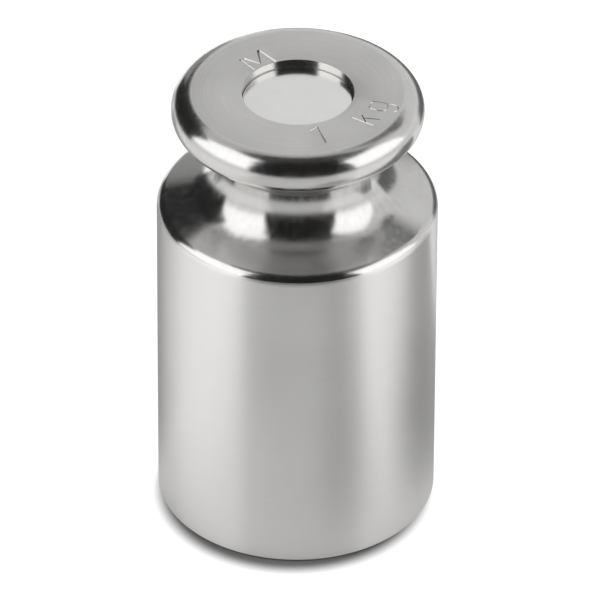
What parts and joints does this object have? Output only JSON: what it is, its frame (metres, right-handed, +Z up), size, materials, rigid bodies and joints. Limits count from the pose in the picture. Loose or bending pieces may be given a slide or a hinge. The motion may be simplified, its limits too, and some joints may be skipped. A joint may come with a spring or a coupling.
{
  "type": "calibration weight",
  "caption": "Turned stainless steel knob weight with a waisted neck, a rounded lifting knob and a pressed cap over its adjusting cavity",
  "frame": {"origin": "centre of the flat base, on the surface that the weight stands on", "axes": "+Z up along the turning axis through the neck and knob; the weight is a body of revolution about it"},
  "size_m": [0.048, 0.048, 0.082],
  "materials": {
    "turned_stainless_steel": "fine turned side and top face, polished edges, neck and knob rim",
    "satin_aluminium": "satin",
    "shot_steel": "dull ground steel"
  },
  "bodies": {
    "root": {"weight_body": "turned_stainless_steel", "closing_cap": "satin_aluminium", "adjusting_shot_01": "shot_steel", "adjusting_shot_02": "shot_steel", "adjusting_shot_03": "shot_steel", "adjusting_shot_04": "shot_steel", "adjusting_shot_05": "shot_steel", "adjusting_shot_06": "shot_steel", "adjusting_shot_07": "shot_steel", "adjusting_shot_08": "shot_steel", "adjusting_shot_09": "shot_steel", "adjusting_shot_10": "shot_steel", "adjusting_shot_11": "shot_steel", "adjusting_shot_12": "shot_steel", "adjusting_shot_13": "shot_steel", "adjusting_shot_14": "shot_steel"}
  },
  "joints": []
}
